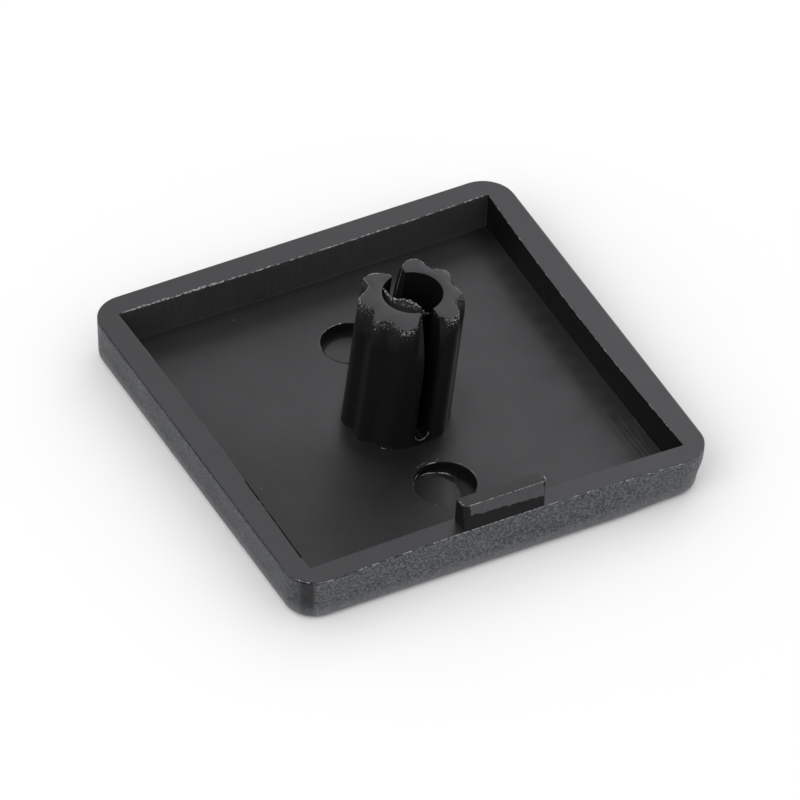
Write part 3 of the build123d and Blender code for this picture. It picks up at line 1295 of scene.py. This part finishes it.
# %% [markdown]
# ## Flash
# Where two halves of the mould meet, a film of plastic creeps into the gap and stays
# as a fin. Each fin here follows a path as a thin ridge whose height comes and goes,
# so that it shows as broken dashes rather than a line. A table gives each fin its
# path, the way it leans, its height and thickness, how much of it is missing, a seed
# for its dashes and its finish. Some fins are not flash: pale ones are painted
# highlights on edges, and dark ones in the shaded skin are painted shade in gaps.

# %% Helper for a fin of flash
FIN_LEAST = 0.004
FIN_ROOT = 0.03


def flash_fin(name, path, out, tall, wide, gap, seed, material):
    """Make a ragged fin along a path of points. out is where it leans, as a 3-D step,
    or a function that gives the step for a place."""
    points, faces, open_row = [], [], None
    for x, y, z in path:
        swell = wander(x, y, seed, 0.9) + 0.7 * wander(x, y, seed + 5, 0.28) - gap
        height = tall * min(1.0, max(0.0, swell))
        if height < FIN_LEAST:
            open_row = None
            continue
        ox, oy, oz = out(x, y) if callable(out) else out
        side = Vector((ox, oy, 0)).normalized() * wide / 2
        row = [len(points) + i for i in range(3)]
        points += [(x - side.x, y - side.y, z - FIN_ROOT),
                   (x + ox * height, y + oy * height, z + oz * height),
                   (x + side.x, y + side.y, z - FIN_ROOT)]
        if open_row:
            faces += skin_rows([open_row, row])
        open_row = row
    make_piece(name, points, faces, [material], smooth=180.0)


# %% Helpers for the paths of flash
def edge_path(loop, side, height, low=0.0, high=1.0):
    """Return the finely spaced points of one side of a square loop, at a height."""
    first = side * (PER_SIDE + PER_CORNER)
    chosen = loop[first + int(low * PER_SIDE):first + int(high * PER_SIDE)]
    return [(x0 + (x1 - x0) * k / 4, y0 + (y1 - y0) * k / 4, height)
            for (x0, y0), (x1, y1) in zip(chosen, chosen[1:]) for k in range(4)]


def arc_path(centre, radius, start, stop, height):
    """Return finely spaced points of an arc, its angles in degrees, at a height."""
    count = max(4, int(abs(stop - start) * radius / 2))
    turns = [math.radians(start + (stop - start) * step / count) for step in range(count + 1)]
    return [(*on_circle(turn, radius, centre), height) for turn in turns]


# %% Flash along the edges
NEAR, RIGHT, FAR, LEFT = range(4)
PARTING_Z = RIM_Z - 0.02
mouth_loop = square_loop(MOUTH_HALF + 0.03, POCKET_CORNER, mouth_bows)
parting_loop = square_loop(top_half - 0.066, CORNER, edge_bows)
outwards = (0, -0.3, 0.9)
for name, path, out, tall, wide, gap, seed, material in (
        ("near_flash", edge_path(parting_loop, NEAR, PARTING_Z),
         outwards, 0.10, 0.13, -0.02, 1.7, white_flash),
        ("near_middle_flash", edge_path(parting_loop, NEAR, PARTING_Z, 0.27, 0.68),
         outwards, 0.06, 0.09, -0.45, 6.7, white_flash),
        ("near_left_film", edge_path(parting_loop, NEAR, PARTING_Z - 0.01, 0.0, 0.3),
         outwards, 0.05, 0.09, -0.3, 2.9, torn_black),
        ("far_mouth_flash", edge_path(mouth_loop, FAR, RIM_Z),
         (0, 0.3, 0.9), 0.13, 0.13, -0.3, 4.2, white_flash),
        ("far_left_flash", edge_path(mouth_loop, FAR, RIM_Z, 0.72, 1.0),
         (0, 0.4, 0.9), 0.19, 0.2, -0.5, 5.9, white_flash),
        ("right_mouth_flash", edge_path(mouth_loop, RIGHT, RIM_Z),
         (0.3, 0, 0.9), 0.06, 0.09, 0.1, 8.8, white_flash),
        ("tab_flash", [(TAB_X[0] + 0.5 + k * 0.04, TAB_Y[0] + 0.07, TAB_TOP) for k in range(212)],
         (0, -0.4, 0.8), 0.06, 0.09, -0.7, 2.6, white_flash),
        # Dark fins in the shaded skin: painted shade in the gap along the left parting edge and
        # along the left mouth.
        ("left_parting_shade", edge_path(parting_loop, LEFT, PARTING_Z),
         (-0.4, 0, 0.9), 0.05, 0.09, -0.45, 3.7, shaded_black),
        ("left_mouth_shade", edge_path(mouth_loop, LEFT, RIM_Z, 0.62, 1.0),
         (0, 0, 0.9), 0.03, 0.06, -0.5, 7.1, shaded_black)):
    flash_fin(name, path, out, tall, wide, gap, seed, material)

# %% Flash on the corner and the tab
corner_middle = CORNER - top_half
corner_path = []
for step in range(42):
    turn = math.radians(195 + 2 * step)
    inset = 0.09 + 0.05 * abs(wander(turn, 1.0, 1.0, 0.1))
    corner_path.append((corner_middle + (CORNER - inset) * math.cos(turn),
                        corner_middle + (CORNER - 0.07) * math.sin(turn), PARTING_Z))
end_path = [(TAB_X[0] - 0.02, TAB_Y[1] - 0.08, RIM_Z + 0.04 * k) for k in range(1, 62)]
whisker_path = [(TAB_X[1] - 0.06, TAB_Y[0] + 0.1 + 0.04 * k, TAB_TOP) for k in range(12)]
flash_fin("corner_flash", corner_path, (-0.2, -0.2, 0.9), 0.06, 0.10, -0.1, 3.9, white_flash)
# A paler fin up the tab's left end is a painted highlight on that edge.
flash_fin("tab_end_highlight", end_path, (-0.6, -0.6, 0), 0.05, 0.08, -1.0, 5.2, drawn_black)
flash_fin("tab_whisker", whisker_path, (0.2, 0, 0.9), 0.3, 0.05, -1.6, 1.1, white_flash)

# %% Flash and painted highlights round the marks
# The pale rings round the marks are partly flash and partly painted highlight on the marks'
# edges. The arc of the second strike is a painted highlight on its edge.
for name, centre, radius, start, stop, height, tall, wide, gap, seed, material in (
        ("far_mark_ring", FAR_MARK, 2.95, 80, 174, 0.01, 0.07, 0.11, -0.7, 3.3, white_flash),
        ("near_mark_ring", NEAR_MARK, 3.44, 72, 128, 0, 0.04, 0.07, -0.5, 7.7, white_flash),
        ("near_mark_side", NEAR_MARK, 3.0, 122, 156, -0.42, 0.14, 0.22, -1.1, 9.1, white_flash),
        ("near_mark_spark", NEAR_MARK, 3.1, 78, 98, 0.01, 0.09, 0.12, -1.1, 2.1, white_flash),
        ("near_mark_right", NEAR_MARK, 3.16, 48, -14, 0, 0.05, 0.09, -0.8, 4.7, white_flash),
        # A dark fin in the shaded skin on the far mark's near edge is painted shade.
        ("far_mark_near_shade", FAR_MARK, 2.93, 180, 262, 0, 0.06, 0.09, -0.7, 5.1, shaded_black),
        ("near_mark_near", NEAR_MARK, 3.17, 226, 262, 0, 0.06, 0.10, -0.1, 8.3, white_flash),
        ("strike_highlight", strike_centre, STRIKE_RADIUS, 100, 36, -NEAR_DEPTH, 0.11, 0.07, -0.6,
         6.1, white_flash)):
    flash_fin(name, arc_path(centre, radius, start, stop, FLOOR_Z + height), (0.1, 0.1, 1.0),
              tall, wide, gap, seed, material)

# %% Flash on the peg
TIP_EDGE_Z = 16.1
FAR_LIP_TURN = 82
RIDGE_RADIUS = 5.46


def tip_path(start, stop, height):
    """Return points along the tip's outer edge between two angles in degrees."""
    angles = [start + step / 2 for step in range(int(abs(stop - start) * 2) + 1)]
    return [lean_polar(peg_radius_at(angle, TIP_EDGE_Z) - 0.03, angle, height)
            for angle in angles]


def from_axis(x, y):
    """Return the step that leans a fin away from the axis of the peg's tip."""
    return (x - TIP_SHIFT[0]) / 12, (y - TIP_SHIFT[1]) / 12, 0.8


# Pale fins along the tip's edge are painted highlights on its rounded edge.
for label, start, stop, tall, gap in (("far_right", 5, 77, 0.12, -1.1),
                                      ("far_left", 104, 168, 0.12, -1.1),
                                      ("near_left", 192, 252, 0.05, -0.1),
                                      ("near_right", 283, 345, 0.05, -0.1)):
    flash_fin("tip_highlight_" + label, tip_path(start, stop, TIP_Z - 0.1), from_axis, tall, 0.08,
              gap, 5.5, white_flash)
lip_path = [lean(SLOT + 0.01, peg_radius_at(FAR_LIP_TURN, height) - 0.02, height)
            for height in [16.0 - 0.1 * step for step in range(60)]]
slot_path = [lean(SLOT * math.sin(turn), -5.14, SLOT_FLOOR + SLOT * (1 - math.cos(turn)) - 0.05)
             for turn in [math.radians(step * 2.25) for step in range(-40, 41)]]
ridge_path = [(x + FOOT_SHIFT[0], y + FOOT_SHIFT[1], z)
              for x, y, z in arc_path((0, 0), RIDGE_RADIUS, 228, 238, FLOOR_Z + 0.03)]
flash_fin("far_lip_flash", lip_path, (-0.7, 0.5, 0), 0.09, 0.12, -1.4, 6.9, white_flash)
flash_fin("slot_foot_flash", slot_path, (0, -1, 0.5), 0.12, 0.16, -0.9, 4.4, white_flash)
flash_fin("ridge_foot_flash", ridge_path, (-0.4, -0.5, 0.6), 0.07, 0.07, -0.5, 2.2, white_flash)

# %% [markdown]
# ## Crumbs
# Where the tip, the torn skin and the tab were rubbed, grains of the plastic cling to
# the edge, and a few lie by the right wall. Each is a tiny uneven grain with eight
# faces. One seeded random order places them all, so they fall the same way each time.

# %% Helper for crumbs
crumb_order = random.Random(7)
crumb_points, crumb_faces = [], []


def add_crumb(x, y, z, size):
    """Add one crumb, an uneven eight-sided grain, at a place."""
    first = len(crumb_points)
    for dx, dy, dz in ((1, 0, 0), (0, 1, 0), (-1, 0, 0), (0, -1, 0), (0, 0, 1), (0, 0, -1)):
        reach = size * crumb_order.uniform(0.5, 1.2)
        crumb_points.append((x + dx * reach, y + dy * reach, min(z + dz * reach, TIP_Z - 0.005)))
    for i in range(4):
        j = (i + 1) % 4
        crumb_faces.extend([(first + i, first + j, first + 4), (first + j, first + i, first + 5)])


# %% Crumbs on the tip, the torn skin, the tab and by the right wall
CRUMB_TOP = 16.14
TIP_CRUMBS = ((166, 7, 0.9), (204, 6, 1.2), (222, 12, 0.8), (237, 8, 1.6), (287, 5, 1.0),
              (297, 7, 1.6), (306, 6, 0.9))
SKIN_CRUMBS = ((146, 10, 1.2), (158, 6, 0.9), (177, 14, 1.4), (190, 8, 1.0), (222, 16, 1.2),
               (240, 12, 0.8), (258, 10, 1.2), (265, 6, 1.0))
for middle, spread, weight in TIP_CRUMBS:
    for _ in range(int(34 * weight)):
        angle = crumb_order.gauss(middle, spread)
        height = CRUMB_TOP - abs(crumb_order.gauss(0.0, 0.42))
        size = 0.03 + 0.06 * crumb_order.random() ** 3 * weight
        add_crumb(*lean_polar(peg_radius_at(angle, height) + 0.3 * size, angle, height), size)
for angle, count, weight in SKIN_CRUMBS:
    for _ in range(count):
        turn = angle + crumb_order.gauss(0, 3.5)
        radius = torn_reach(turn) + 0.08 + abs(crumb_order.gauss(0, 0.14))
        add_crumb(*lean_polar(radius, turn, TIP_Z - 0.2),
                  0.05 + 0.09 * crumb_order.random() ** 1.5 * weight)
for _ in range(14):
    add_crumb(TAB_X[0] + 0.12 + abs(crumb_order.gauss(0, 0.12)),
              crumb_order.uniform(TAB_Y[0] + 0.3, TAB_Y[1] - 0.3),
              TAB_TOP - 0.02, crumb_order.uniform(0.03, 0.09))
for _ in range(9):
    add_crumb(FLOOR_HALF - 0.22, crumb_order.uniform(-12.1, -10.6),
              FLOOR_Z + crumb_order.uniform(0.0, 0.2), crumb_order.uniform(0.03, 0.06))
make_piece("crumbs", crumb_points, crumb_faces, [white_flash], smooth=20.0)

# %% [markdown]
# ## Camera, floor and light
# A long lens from well back keeps the square nearly true, as a catalogue view does.
# The floor and the surroundings are white, and a black glossy part is mostly a
# picture of what stands round it, so broad even white is what shows its form.

# %% Camera
AZIMUTH, ELEVATION, ROLL = -29.0, 42.0, 2.2
DISTANCE = 1.79
VIEW_SCALE = 10422.0
IMAGE = 800.0
AIM_DROP = 20.6 / VIEW_SCALE
az, el, roll = (math.radians(angle) for angle in (AZIMUTH, ELEVATION, ROLL))
back = Vector((math.sin(az) * math.cos(el), -math.cos(az) * math.cos(el), math.sin(el)))
base = (-back).to_track_quat("-Z", "Y").to_matrix()
right, up = base.col[0].copy(), base.col[1].copy()
rolled_up = up * math.cos(roll) - right * math.sin(roll)
base.col[0], base.col[1] = right * math.cos(roll) + up * math.sin(roll), rolled_up
camera = bpy.data.objects.new("camera", bpy.data.cameras.new("camera"))
bpy.context.scene.collection.objects.link(camera)
camera.data.sensor_width = 36.0
camera.data.lens = VIEW_SCALE * DISTANCE * camera.data.sensor_width / IMAGE
camera.data.clip_start, camera.data.clip_end = 0.01, 50.0
camera.location = Vector((0, 0, RIM_Z * MM)) - rolled_up * AIM_DROP + back * DISTANCE
camera.rotation_mode = "QUATERNION"
camera.rotation_quaternion = base.to_quaternion()
bpy.context.scene.camera = camera
print("lens, mm:", round(camera.data.lens, 1))

# %% Floor
GROUND_REACH = 1.5
corners = [(x * GROUND_REACH, y * GROUND_REACH, 0)
           for x, y in ((-1, -1), (1, -1), (1, 1), (-1, 1))]
ground_mesh = bpy.data.meshes.new("ground")
ground_mesh.from_pydata(corners, [], [(0, 1, 2, 3)])
ground = bpy.data.objects.new("ground", ground_mesh)
bpy.context.scene.collection.objects.link(ground)
paper = bpy.data.materials.new("white_paper")
paper.use_nodes = True
paper_skin = paper.node_tree.nodes["Principled BSDF"]
paper_skin.inputs["Base Color"].default_value = (0.98, 0.98, 0.98, 1)
paper_skin.inputs["Roughness"].default_value = 0.9
paper_skin.inputs["Specular IOR Level"].default_value = 0.0
ground_mesh.materials.append(paper)
print("floor, m across:", 2 * GROUND_REACH)

# %% Light
FILL = 0.83
world = bpy.data.worlds.new("studio")
bpy.context.scene.world = world
world.use_nodes = True
sky_tree = world.node_tree
sky = sky_tree.nodes["Background"]
sky.inputs["Color"].default_value = (1, 1, 1, 1)
rays = sky_tree.nodes.new("ShaderNodeLightPath").outputs
seen = math_node(sky_tree, "MAXIMUM", rays["Is Camera Ray"],
                 math_node(sky_tree, "MAXIMUM", rays["Is Glossy Ray"],
                           rays["Is Transmission Ray"]))
sky_tree.links.new(range_node(sky_tree, seen, 0.0, 1.0, FILL), sky.inputs["Strength"])
for name, place, size, watts in (("far_softbox", (0.24, 0.20, 0.18), 0.2, 0.12),
                                 ("left_softbox", (-0.6, -0.25, 0.6), 0.7, 2.2)):
    lamp = bpy.data.objects.new(name, bpy.data.lights.new(name, "AREA"))
    lamp.data.size = size
    lamp.data.energy = watts
    lamp.location = place
    lamp.rotation_mode = "QUATERNION"
    lamp.rotation_quaternion = (-Vector(place)).to_track_quat("-Z", "Y")
    bpy.context.scene.collection.objects.link(lamp)
    print(name, "gives", watts, "W")

# %% View transform
bpy.context.scene.view_settings.view_transform = "Standard"
